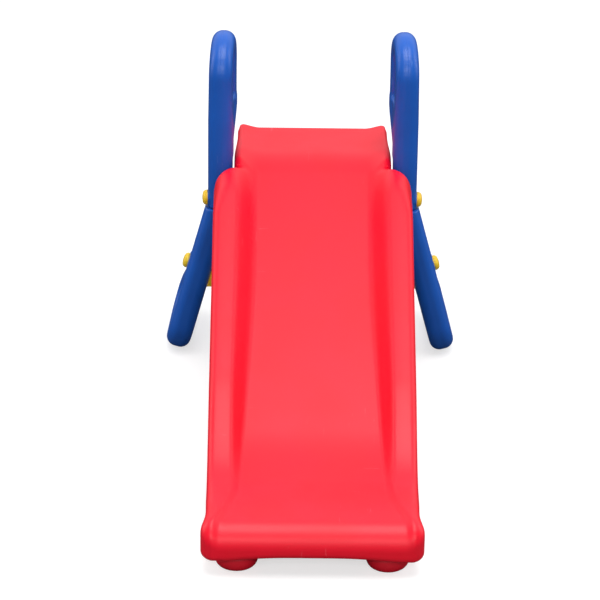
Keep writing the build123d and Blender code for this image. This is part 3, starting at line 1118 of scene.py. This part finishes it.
@dataclass
class MouldedForm:
    """A smooth solid given by a signed distance, turned into an even skin of quads."""

    origin: Array
    rear: Array
    up: Array
    low: Triple
    high: Triple
    step: float = 1.9 * MM

    @property
    def across(self) -> Array:
        """Direction across the form's plane, towards the middle of the slide."""
        return np.cross(self.rear, self.up)

    def world(self, p: Array, q: Array, n: Array) -> tuple[Array, Array, Array]:
        """x, y and z in the slide's frame of coordinates to the rear, upwards and across the plane."""
        a, b, c, o = self.rear, self.up, self.across, self.origin
        return tuple(o[k] + p * a[k] + q * b[k] + n * c[k] for k in range(3))

    def skin(self, distance: Distance, name: str) -> Mesh:
        """Lay quads over the zero level of a distance.

        Args:
            distance: signed distance as a function of p, q and n.
            name: name of the mesh.

        Returns:
            The mesh, in the slide's frame.
        """
        axes = [np.arange(lo, hi, self.step) for lo, hi in zip(self.low, self.high)]
        p, q, n = np.meshgrid(*axes, indexing="ij", sparse=True)
        value = np.broadcast_to(distance(p, q, n), [len(a) for a in axes])
        cells = tuple(len(a) - 1 for a in axes)
        total, hits = np.zeros(cells + (3,)), np.zeros(cells)
        crossings = []
        for axis in range(3):
            here, there = ([slice(None)] * 3 for _ in range(2))
            here[axis], there[axis] = slice(0, -1), slice(1, None)
            a, b = value[tuple(here)], value[tuple(there)]
            where = np.argwhere((a < 0) != (b < 0))
            others = [k for k in range(3) if k != axis]
            where = where[np.all([(where[:, k] > 0) & (where[:, k] < cells[k]) for k in others], axis=0)]
            va, vb = a[tuple(where.T)], b[tuple(where.T)]
            place = where.astype(float)
            place[:, axis] += va / (va - vb)
            around = []
            for step in ((0, 0), (1, 0), (1, 1), (0, 1)):
                cell = where.copy()
                cell[:, others] -= step
                np.add.at(total, tuple(cell.T), place)
                np.add.at(hits, tuple(cell.T), 1)
                around.append(cell)
            crossings.append((axis, around, va < 0))
        used = np.argwhere(hits > 0)
        number = np.full(cells, -1)
        number[tuple(used.T)] = np.arange(len(used))
        local = total[tuple(used.T)] / hits[tuple(used.T)][:, None] * self.step + np.array(self.low)
        faces = []
        for axis, around, leaving in crossings:
            quad = np.column_stack([number[tuple(cell.T)] for cell in around])
            turned = leaving if axis == 1 else ~leaving
            quad[turned] = quad[turned][:, ::-1]
            faces.append(quad)
        quads = np.concatenate(faces)
        soup = Soup()
        soup.add(np.column_stack(self.world(*self.settle(distance, local, quads).T)), quads)
        return soup.mesh(name)

    def settle(self, distance: Distance, local: Array, quads: Array) -> Array:
        """Even out the vertices and bring each one onto the zero level.

        Args:
            distance: signed distance.
            local: vertices in the form's own axes.
            quads: the faces.

        Returns:
            The moved vertices.
        """
        small = 0.05 * MM
        for even in (0.6, 0.5, 0.0, 0.0):
            if even:
                total, hits = np.zeros_like(local), np.zeros(len(local))
                for a, b in ((0, 1), (1, 2), (2, 3), (3, 0)):
                    np.add.at(total, quads[:, a], local[quads[:, b]])
                    np.add.at(hits, quads[:, a], 1)
                local = local + even * (total / np.maximum(hits, 1)[:, None] - local)
            here = distance(*local.T)
            slope = np.empty_like(local)
            for k in range(3):
                moved = local.copy()
                moved[:, k] += small
                slope[:, k] = (distance(*moved.T) - here) / small
            size = np.maximum((slope**2).sum(axis=1), 0.2)
            move = np.clip(here / size, -self.step, self.step)
            local = local - slope * move[:, None]
        return local


def geometry_tree(name: str, inputs: dict[str, str], steps: dict[str, str], joins: Sequence[tuple]) -> Tree:
    """A geometry tree that ends in Realize Instances and Set Material.

    Args:
        name: its name.
        inputs: its inputs and their kinds, besides the Finish.
        steps: its own nodes by a short name.
        joins: node and output, then node and input, of each link. The tree's inputs are on "in",
            and what it makes goes to "whole".

    Returns:
        The tree.
    """
    tree = bpy.data.node_groups.new(name, "GeometryNodeTree")
    for key, kind in (inputs | {"Finish": "Material"}).items():
        tree.interface.new_socket(key, in_out="INPUT", socket_type=f"NodeSocket{kind}")
    tree.interface.new_socket("Piece", in_out="OUTPUT", socket_type="NodeSocketGeometry")
    nodes = {"in": tree.nodes.new("NodeGroupInput"), "out": tree.nodes.new("NodeGroupOutput")}
    for key, kind in (steps | {"whole": "RealizeInstances", "paint": "SetMaterial"}).items():
        nodes[key] = tree.nodes.new(f"GeometryNode{kind}")
        nodes[key].name = key
    ending = [("whole", 0, "paint", "Geometry"), ("in", "Finish", "paint", "Material"), ("paint", 0, "out", 0)]
    for source, output, target, entry in (*joins, *ending):
        tree.links.new(nodes[source].outputs[output], nodes[target].inputs[entry])
    return tree


def bake_tree(name: str, base: Mesh, tree: Tree, values: dict[str, object]) -> Mesh:
    """Run a geometry tree on a mesh and keep the result.

    Args:
        name: name of the new mesh.
        base: the mesh that the tree starts from.
        tree: the tree.
        values: its inputs by name.

    Returns:
        The plain mesh, with faces outwards.
    """
    carrier = bpy.data.objects.new(f"{name} carrier", base)
    modifier = carrier.modifiers.new("tree", "NODES")
    modifier.node_group = tree
    for item in tree.interface.items_tree:
        if item.in_out == "INPUT" and item.name in values:
            modifier[item.identifier] = values[item.name]
    bpy.context.scene.collection.objects.link(carrier)
    result = bpy.data.meshes.new_from_object(carrier.evaluated_get(bpy.context.evaluated_depsgraph_get()))
    carrier.modifiers.remove(modifier)
    bpy.data.objects.remove(carrier)
    result.name = name
    mended(result).shade_smooth()
    return result


def seam_line(name: str, points: Array, radius: float, material: Material) -> Mesh:
    """The fine raised line that a two-part mould leaves along a tube.

    Args:
        name: name of the mesh.
        points: its line, in the slide's frame.
        radius: how thick it is.
        material: its finish.

    Returns:
        A closed mesh along the line.
    """
    tree = geometry_tree(
        f"{name} tree",
        {"Line": "Geometry", "Radius": "Float"},
        {"curve": "MeshToCurve", "circle": "CurvePrimitiveCircle", "sweep": "CurveToMesh"},
        [("in", "Line", "curve", 0), ("in", "Radius", "circle", "Radius"), ("curve", 0, "sweep", "Curve"),
         ("circle", 0, "sweep", "Profile Curve"), ("sweep", 0, "whole", 0)],
    )
    tree.nodes["circle"].inputs["Resolution"].default_value = 8
    tree.nodes["sweep"].inputs["Fill Caps"].default_value = True
    line = bpy.data.meshes.new(f"{name} line")
    line.from_pydata(points.tolist(), [(k, k + 1) for k in range(len(points) - 1)], [])
    return bake_tree(name, line, tree, {"Radius": radius, "Finish": material})


@dataclass
class SideFrame:
    """One side of the ladder frame: a looped handle that plugs over a leg with a looped foot."""

    pivot: Triple = (-0.180, 0.350, 0.338)
    splay: float = 15.0
    toe_in: float = 4.0
    tube: Section = (0.024, 0.023, 0.020, 0.0)
    slim: Section = (0.019, 0.018, 0.015, 0.0)
    crown: Section = (0.0225, 0.0227, 0.0205, 0.0005)
    back: Section = (0.0195, 0.018, 0.015, 0.003)
    rim_z: float = 0.322
    leg_top: float = 0.320
    spigot: Triple = (0.0177, 0.0167, 0.013)
    spigot_top: float = 0.392
    loop: float = 0.100
    crown_z: float = 0.642
    palm_z: float = 0.518
    join_z: float = 0.428
    foot_lean: float = 0.018
    foot_length: float = 0.2098
    foot_axis: float = 0.024
    leg_join: float = 0.226
    web_share: float = 0.38
    web_half: float = 0.013
    web_shift: float = 0.0035
    bolt: Pair = (0.024, -0.163)
    boss: float = 0.018
    seat_x: float = -0.2045
    seat: float = 0.016
    web_edge: float = 0.006
    palm_bends: Pair = (0.046, 0.060)
    foot_bends: Triple = (0.042, 0.038, 0.020)
    leg_lift: float = 0.030
    plug_gap: float = 0.3 * MM
    seam: float = 0.6 * MM
    seam_depth: float = 0.35 * MM
    seam_end: float = 0.006

    @property
    def rear(self) -> Array:
        """Direction to the rear in both planes."""
        a = math.radians(self.toe_in)
        return np.array([math.sin(a), math.cos(a), 0])

    @property
    def leg_up(self) -> Array:
        """Direction up the leg.

        Returns:
            A unit vector, square to the direction to the rear.
        """
        a = math.radians(self.splay)
        steep = np.array([math.sin(a), 0, math.cos(a)])
        up = steep - self.rear * (steep @ self.rear)
        return up / np.linalg.norm(up)

    def plug(self, form: MouldedForm, p: Array, q: Array, n: Array, grow: float, top: float) -> Array:
        """Signed distance to the upright plug that joins the handle and the leg.

        Args:
            form: whose coordinates are given.
            p, q, n: coordinates to the rear, upwards and across.
            grow: how much larger than the plug.
            top: its height.

        Returns:
            The distance, negative inside.
        """
        x, y, z = form.world(p, q, n)
        x, y = x - self.pivot[0], y - self.pivot[1]
        a, b = self.rear[1], self.rear[0]
        u, v = x * a - y * b, x * b + y * a
        half_u, half_v, radius = self.spigot
        column = round_cut(np.abs(u) - half_u - grow, np.abs(v) - half_v - grow, radius)
        return round_cut(column, z - top, 1 * MM)

    def handle(self) -> tuple[Mesh, Array]:
        """The looped handle.

        Returns:
            Its mesh, and the line of its mould seam.
        """
        back, top = self.loop, self.crown_z
        points = [(0, self.rim_z - 0.03), (0, top), (back, top), (back, self.palm_z - 0.018)]
        points += [(0.002, self.join_z - 0.008), (0.002, self.join_z - 0.06)]
        route = filleted(points, [back / 2 - 1e-5, back / 2 - 1e-5, *self.palm_bends])
        rise = top - back / 2 - self.rim_z + 0.03
        arc = math.pi * back / 2
        whole = route_length(route)
        tube = Tube(route, [
            (0, *self.tube), (rise - 0.09, *self.tube), (rise + 0.35 * arc, *self.crown),
            (rise + 0.6 * arc, *self.crown), (rise + arc + 0.02, *self.back), (rise + arc + 0.11, *self.back),
            (rise + arc + 0.19, *self.slim), (whole - 0.065, *self.slim), (whole - 0.020, *self.tube),
        ])
        low, high = self.join_z, self.palm_z
        corners = np.array([(0, low), (0.014, low), (back, high - 0.020), (back, high), (0, high)])
        origin = np.array([self.pivot[0], self.pivot[1], 0])
        form = MouldedForm(origin, self.rear, np.array([0, 0, 1.0]), (-0.030, 0.314, -0.030), (0.130, 0.672, 0.030))

        def distance(p: Array, q: Array, n: Array) -> Array:
            """Signed distance to the handle.

            Args:
                p, q, n: coordinates to the rear, upwards and across the plane.

            Returns:
                The distance, negative inside.
            """
            solid = tube.distance(p, q, n)
            panel = web_distance(p, q, n - self.web_shift, corners, self.web_half + self.web_shift, self.web_edge)
            solid = soft_union(solid, panel, 0.012)
            x, y, z = form.world(p, q, n)
            round_seat = np.hypot(y - self.pivot[1], z - self.pivot[2]) - self.seat
            pad = round_cut(round_seat, np.maximum(self.seat_x - x, x - self.pivot[0]), 1 * MM)
            solid = soft_union(solid, pad, 0.003)
            solid = round_cut(solid, self.rim_z - z, 2.2 * MM)
            return np.maximum(solid, -self.plug(form, p, q, n, self.plug_gap, self.spigot_top + 2 * MM))

        mesh = form.skin(distance, Side.LEFT.name_of("handle_loop"))
        line = tube.offset(-self.seam_depth)
        line = line[line[:, 1] > self.rim_z + self.seam_end]
        return mesh, np.column_stack(form.world(line[:, 0], line[:, 1], 0 * line[:, 0]))

    def leg(self) -> tuple[Mesh, Array]:
        """The leg with its looped foot and the plug on top.

        Returns:
            Its mesh, and the line of its mould seam.
        """
        up = self.leg_up
        depth = (self.pivot[2] - self.foot_axis) / up[2]
        join_depth = (self.pivot[2] - self.leg_join) / up[2]
        heel, join = np.array([self.foot_length, -depth]), np.array([0.004, -join_depth])
        lift = self.leg_lift
        points = [(self.foot_lean * lift / depth, lift), (-self.foot_lean, -depth), tuple(heel), tuple(join)]
        route = filleted(points + [(0, lift / 2 - join_depth)], self.foot_bends)
        thick = depth + self.foot_length + self.foot_lean - 0.03
        whole = route_length(route)
        tube = Tube(route, [
            (0, *self.tube), (thick + 0.01, *self.tube), (thick + 0.11, *self.slim), (whole - 0.050, *self.slim),
            (whole - 0.008, *self.tube),
        ])
        low = join + (heel - join) * self.web_share
        corners = np.array([(-0.008, -join_depth), tuple(join), tuple(low), (-0.014, low[1])])
        origin = np.array(self.pivot)
        form = MouldedForm(origin, self.rear, up, (-0.052, -depth - 0.032, -0.030), (0.244, 0.066, 0.034))

        def distance(p: Array, q: Array, n: Array) -> Array:
            """Signed distance to the leg.

            Args:
                p, q, n: coordinates to the rear, upwards and across the plane.

            Returns:
                The distance, negative inside.
            """
            solid = tube.distance(p, q, n)
            solid = soft_union(solid, web_distance(p, q, n, corners, self.web_half, self.web_edge), 0.014)
            disc = np.hypot(p - self.bolt[0], q - self.bolt[1]) - self.boss
            solid = soft_union(solid, round_cut(disc, np.abs(n) - self.tube[0], 2 * MM), 0.008)
            z = form.world(p, q, n)[2]
            solid = round_cut(solid, z - self.leg_top, 1.5 * MM)
            return np.minimum(solid, self.plug(form, p, q, n, 0.0, self.spigot_top))

        mesh = form.skin(distance, Side.LEFT.name_of("leg_loop"))
        line = tube.offset(-self.seam_depth)
        line = np.column_stack(form.world(line[:, 0], line[:, 1], 0 * line[:, 0]))
        return mesh, line[line[:, 2] < self.leg_top - self.seam_end]

    def build(self, finishes: Finishes) -> None:
        """Make both sides.

        Args:
            finishes: the materials.
        """
        blue = "blue_plastic"
        for part, (mesh, line) in (("handle", self.handle()), ("leg", self.leg())):
            seam = seam_line(f"{part}_seam_left", line, self.seam, finishes.made[blue])
            finishes.place_sides(blue, [(mesh, f"{part}_loop", part, None), (seam, f"{part}_seam", None, 40)])


# ---- step
@dataclass
class Step:
    """The yellow step between the legs, open below, with raised grip bars on its tread."""

    middle_y: float = 0.388
    top: float = 0.208
    depth: float = 0.105
    height: float = 0.058
    wall: float = 0.004
    edge: float = 0.008
    groove: float = 0.003
    pitch: float = 0.014
    bar: float = 0.010
    bars: int = 5
    end_wall: float = 0.012
    grip_half: float = 0.180
    gap: float = 0.0242
    edge_land: float = 0.0077
    ribs_at: tuple[float, ...] = (-0.140, -0.084, -0.028, 0.028, 0.084, 0.140)

    def end_x(self, frame_side: SideFrame, y: Array, z: Array, offset: float) -> Array:
        """Where the slanting plane beside the leg cuts a line across the slide.

        Args:
            frame_side: the left side frame.
            y: depth of the line.
            z: height of the line.
            offset: how far the plane lies from the leg's middle plane.

        Returns:
            x, negative.
        """
        across = np.cross(frame_side.rear, frame_side.leg_up)
        x, y0, z0 = frame_side.pivot
        return x + (offset - (y - y0) * across[1] - (z - z0) * across[2]) / across[0]

    def section(self, inset: float, top: float, bottom: float) -> Array:
        """Outline of the bar from its front lower edge, over the top, to its rear lower edge.

        Args:
            inset: how far inside the outer face.
            top: height of its top.
            bottom: height of its lower edge.

        Returns:
            y and z of each point.
        """
        half, r = self.depth / 2 - inset, max(self.edge - inset, 2 * MM)
        turn = quarter(8)
        front = [(-half + r - r * math.cos(a), top - r + r * math.sin(a)) for a in turn]
        flat = [(y, top) for y in np.linspace(-half + r, half - r, 16)[1:-1]]
        rear = [(half - r + r * math.sin(a), top - r + r * math.cos(a)) for a in turn]
        low = [(-half, bottom), (-half, bottom + 6 * MM)]
        points = low + front + flat + rear + [(half, bottom + 6 * MM), (half, bottom)]
        return np.array(points) + (self.middle_y, 0)

    def body(self, frame_side: SideFrame) -> Mesh:
        """The hollow bar with its slanting ends.

        Args:
            frame_side: the left side frame.

        Returns:
            The mesh.
        """
        bottom = self.top - self.height
        tread = self.top - self.groove
        soup = Soup()
        outer = self.section(0.0, tread, bottom)
        inner = self.section(self.wall, tread - self.wall, bottom)
        loop = np.concatenate([outer, inner[::-1]])
        stations = np.linspace(-1, 1, 25)
        reach = -self.end_x(frame_side, loop[:, 0], loop[:, 1], self.gap)
        rings = [np.column_stack([reach * t, loop]) for t in stations]
        count = len(loop)
        soup.add(np.concatenate(rings), grid_faces(len(rings), count, True))
        for base in (0, (len(rings) - 1) * count):
            end = base + count - 1
            soup.faces += [(base + k, base + k + 1, end - k - 1, end - k) for k in range(len(outer) - 1)]
        for sign in (-1, 1):
            wall = self.section(self.wall * 0.5, tread - self.wall * 0.5, bottom + 1 * MM)
            near = -self.end_x(frame_side, wall[:, 0], wall[:, 1], self.gap + 0.3 * MM)
            far = -self.end_x(frame_side, wall[:, 0], wall[:, 1], self.gap + self.end_wall)
            points = np.concatenate([np.column_stack([sign * x, wall]) for x in (near, far)])
            n = len(wall)
            soup.add(points, grid_faces(2, n, True) + [tuple(range(n)), tuple(range(n, 2 * n))])
        for x in self.ribs_at:
            rib = self.section(self.wall * 0.7, tread - self.wall * 0.7, bottom + 12 * MM)
            soup.take(prism(rib, x - 1.5 * MM, x + 1.5 * MM, 0.4 * MM))
        for sign in (-1, 1):
            y = self.middle_y + sign * (self.depth / 2 - self.edge_land)
            soup.take(self.land(self.edge_land), (0, y, tread))
        return soup.mesh("step_body", repair=True)

    def land(self, half: float) -> Soup:
        """One raised strip of the tread, at the origin.

        Args:
            half: half its width.

        Returns:
            The strip.
        """
        r = 1.2 * MM
        turn = quarter(5)
        left = [(-half + r - r * math.cos(a), self.groove - r + r * math.sin(a)) for a in turn]
        profile = [(-half, -1 * MM)] + left + [(-y, z) for y, z in reversed(left)] + [(half, -1 * MM)]
        return prism(np.array(profile), -self.grip_half, self.grip_half, 1.2 * MM)

    def grips(self, material: Material) -> Mesh:
        """The row of raised bars, repeated by a geometry tree.

        Args:
            material: their finish.

        Returns:
            The mesh.
        """
        tree = geometry_tree(
            "grip bars",
            {"Bar": "Geometry", "Count": "Int", "First": "Vector", "Pitch": "Vector"},
            {"row": "MeshLine", "place": "InstanceOnPoints"},
            [("in", "Count", "row", "Count"), ("in", "First", "row", "Start Location"),
             ("in", "Pitch", "row", "Offset"), ("row", 0, "place", "Points"),
             ("in", "Bar", "place", "Instance"), ("place", 0, "whole", 0)],
        )
        bar = self.land(self.bar / 2).mesh("grip bar", repair=True)
        first = self.middle_y - self.pitch * (self.bars - 1) / 2
        values = {
            "Count": self.bars, "First": (0.0, first, self.top - self.groove), "Pitch": (0.0, self.pitch, 0.0),
            "Finish": material,
        }
        return bake_tree("step_grips", bar, tree, values)

    def build(self, frame_side: SideFrame, finishes: Finishes) -> None:
        """Make the step.

        Args:
            frame_side: the left side frame, whose slant its ends follow.
            finishes: the materials.
        """
        yellow = "yellow_plastic"
        finishes.place(self.body(frame_side), Body.LADDER, yellow, "step_tread", crease=35)
        finishes.place(self.grips(finishes.made[yellow]), Body.LADDER, yellow, crease=35)


@dataclass
class DomedCap:
    """A yellow cap that snaps over the end of the rod or of a bolt."""

    radius: float = 0.015
    height: float = 0.011
    round: float = 0.008
    cavity: Pair = (0.010, 0.007)

    def profile(self) -> list[Pair]:
        """The section of the cap, from the top of the dome round to the cavity.

        Returns:
            The profile's points.
        """
        crown, r, e = 0.9 * MM, self.radius, self.round
        flat = r - e
        points = [(flat * t, self.height - crown * t * t) for t in np.linspace(0, 0.94, 8)]
        turn = quarter(10, 0.12)
        top = self.height - crown * 0.9
        points += [(flat + e * math.sin(a), top - e + e * math.cos(a)) for a in turn]
        points += [(r, 1.4 * MM), (r - 0.5 * MM, 1.1 * MM), (r - 0.5 * MM, 0.5 * MM), (r - 0.1 * MM, 0.2 * MM)]
        points += [(r - 0.4 * MM, 0.0), (self.cavity[0], 0.0), (self.cavity[0], self.cavity[1]), (0.0, self.cavity[1])]
        return points

    def build(self, frame_side: SideFrame, finishes: Finishes) -> None:
        """Make all four caps.

        Args:
            frame_side: the left side frame.
            finishes: the materials.
        """
        x, y, z = frame_side.pivot
        across = np.cross(frame_side.rear, frame_side.leg_up)
        back, down = frame_side.bolt
        bolt = np.array(frame_side.pivot) + frame_side.rear * back + frame_side.leg_up * down
        bolt = bolt - across * frame_side.tube[0]
        seats = {
            "pivot_cap": (Vector((frame_side.seat_x, y, z)), Vector((-1, 0, 0))),
            "step_cap": (Vector(bolt), Vector(-across)),
        }
        for name, (at, out) in seats.items():
            place = Matrix.Translation(at) @ out.to_track_quat("Z", "Y").to_matrix().to_4x4()
            mesh = lathe(self.profile(), place, 56).mesh(f"{name}_dome_left", repair=True)
            finishes.place_sides("yellow_plastic", [(mesh, f"{name}_dome", name, 50)])


@dataclass
class SmallHardware:
    """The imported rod, bolts, screws and bushes, which keep their shape and get their finish."""

    steel: tuple[str, ...] = (
        "pivot_rod", "pivot_retainers", "step_bolts", "step_nuts", "handle_screws", "foot_screws",
    )
    nylon: tuple[str, ...] = ("pivot_bush_left", "pivot_bush_right", "pivot_spacers")

    def dress(self, finishes: Finishes) -> None:
        """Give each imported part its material.

        Args:
            finishes: the materials.
        """
        for names, slot in ((self.steel, "zinc_steel"), (self.nylon, "white_nylon")):
            for name in names:
                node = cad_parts[name]
                if not node.material_slots:
                    node.data.materials.append(finishes.made[slot])
                for place in node.material_slots:
                    place.material = finishes.made[slot]
                log.info("%s dressed in %s", name, slot)


# ---- studio
@dataclass
class Studio:
    """A plain white floor, soft light from overhead, front and side banks, and the camera."""

    target: Triple = (0.0, 0.045, 0.300)
    elevation: float = 26.0
    azimuth: float = -0.7
    roll: float = 0.8
    distance: float = 6.5
    lens: float = 206.8
    aim_right: float = -0.0236
    aim_up: float = -0.0307
    floor_reach: float = 9.0
    floor_tone: float = 0.22
    floor_seen: float = 0.50
    floor_mirrored: float = 0.06
    floor_glow: float = 0.62

    def camera(self) -> None:
        """Place the camera in front of the slide, looking a little down."""
        data = bpy.data.cameras.new("camera")
        data.lens, data.sensor_width = self.lens, 36.0
        data.clip_end = 60.0
        camera = bpy.data.objects.new("camera", data)
        bpy.context.scene.collection.objects.link(camera)
        a, e = math.radians(self.azimuth), math.radians(self.elevation)
        back = Vector((math.sin(a) * math.cos(e), -math.cos(a) * math.cos(e), math.sin(e)))
        turn = back.to_track_quat("Z", "Y").to_matrix()
        right, up = turn.col[0], turn.col[1]
        place = Vector(self.target) + back * self.distance
        aim = Vector(self.target) + right * self.aim_right + up * self.aim_up
        turn = (place - aim).to_track_quat("Z", "Y").to_matrix()
        turn = turn @ Matrix.Rotation(math.radians(self.roll), 3, "Z")
        camera.matrix_world = Matrix.Translation(place) @ turn.to_4x4()
        bpy.context.scene.camera = camera

    def floor(self) -> None:
        """Lay the white floor."""
        mesh = bpy.data.meshes.new("studio_floor")
        corners = [(x * self.floor_reach, y * self.floor_reach, 0) for x, y in ((-1, -1), (1, -1), (1, 1), (-1, 1))]
        mesh.from_pydata(corners, [], [(0, 1, 2, 3)])
        material = bpy.data.materials.new("studio_floor")
        material.use_nodes = True
        s = Shader(material.node_tree)
        paint = material.node_tree.nodes["Principled BSDF"]
        seen = s.node("LightPath").outputs["Is Camera Ray"]
        glossy = s.node("LightPath").outputs["Is Glossy Ray"]
        tone = s.maths("MULTIPLY_ADD", glossy, self.floor_mirrored - self.floor_tone, self.floor_tone)
        s.join(s.maths("MULTIPLY_ADD", seen, self.floor_seen - self.floor_tone, tone), paint.inputs["Base Color"])
        paint.inputs["Roughness"].default_value = 1.0
        paint.inputs["Specular IOR Level"].default_value = 0.0
        paint.inputs["Emission Color"].default_value = (1.0, 1.0, 1.0, 1.0)
        s.join(s.maths("MULTIPLY", seen, self.floor_glow), paint.inputs["Emission Strength"])
        mesh.materials.append(material)
        floor = bpy.data.objects.new("studio_floor", mesh)
        bpy.context.scene.collection.objects.link(floor)

    def bank(self, name: str, place: Sequence[float], size: Pair, power: float) -> None:
        """Hang one soft light, facing the slide.

        Args:
            name: its name.
            place: where it hangs.
            size: width and height.
            power: in watts.
        """
        data = bpy.data.lights.new(name, "AREA")
        data.shape, data.size, data.size_y, data.energy = "RECTANGLE", size[0], size[1], power
        lamp = bpy.data.objects.new(name, data)
        turn = (Vector(place) - Vector(self.target)).to_track_quat("Z", "Y")
        lamp.matrix_world = Matrix.Translation(place) @ turn.to_matrix().to_4x4()
        bpy.context.scene.collection.objects.link(lamp)

    def build(self) -> None:
        """Set up the world, the lights, the floor and the camera."""
        world = bpy.data.worlds.new("studio")
        world.use_nodes = True
        s = Shader(world.node_tree)
        sky = world.node_tree.nodes["Background"]
        sky.inputs["Color"].default_value = (1.0, 1.0, 1.0, 1.0)
        axes = s.node("SeparateXYZ")
        s.join(s.node("TexCoord").outputs["Generated"], axes.inputs[0])
        behind = s.ramp(axes.outputs["Y"], -0.5, 0.6)
        high = s.ramp(axes.outputs["Z"], -0.10, 0.45)
        light = s.maths("MULTIPLY_ADD", s.maths("MULTIPLY", behind, high), 0.80, 0.27)
        seen = s.node("LightPath").outputs["Is Camera Ray"]
        s.join(s.maths("MAXIMUM", light, seen), sky.inputs["Strength"])
        bpy.context.scene.world = world
        bpy.context.scene.view_settings.view_transform = "Standard"
        self.bank("overhead bank", (0.2, -0.8, 3.5), (2.6, 2.2), 82.0)
        self.bank("left bank", (-2.5, 0.5, 1.2), (0.8, 2.0), 13.0)
        self.bank("right bank", (2.5, 0.5, 1.2), (0.8, 2.0), 13.0)
        self.bank("front bank", (0.0, -3.3, 2.0), (3.0, 1.0), 42.0)
        self.floor()
        self.camera()
        log.info("studio ready")


def main() -> None:
    """Build the slide piece by piece, then the studio."""
    Studio().build()
    finishes = Finishes()
    finishes.build()
    side_frame = SideFrame()
    Chute().build(finishes)
    FrontFoot().build(finishes)
    side_frame.build(finishes)
    Step().build(side_frame, finishes)
    DomedCap().build(side_frame, finishes)
    SmallHardware().dress(finishes)


if __name__ == "__main__":
    main()
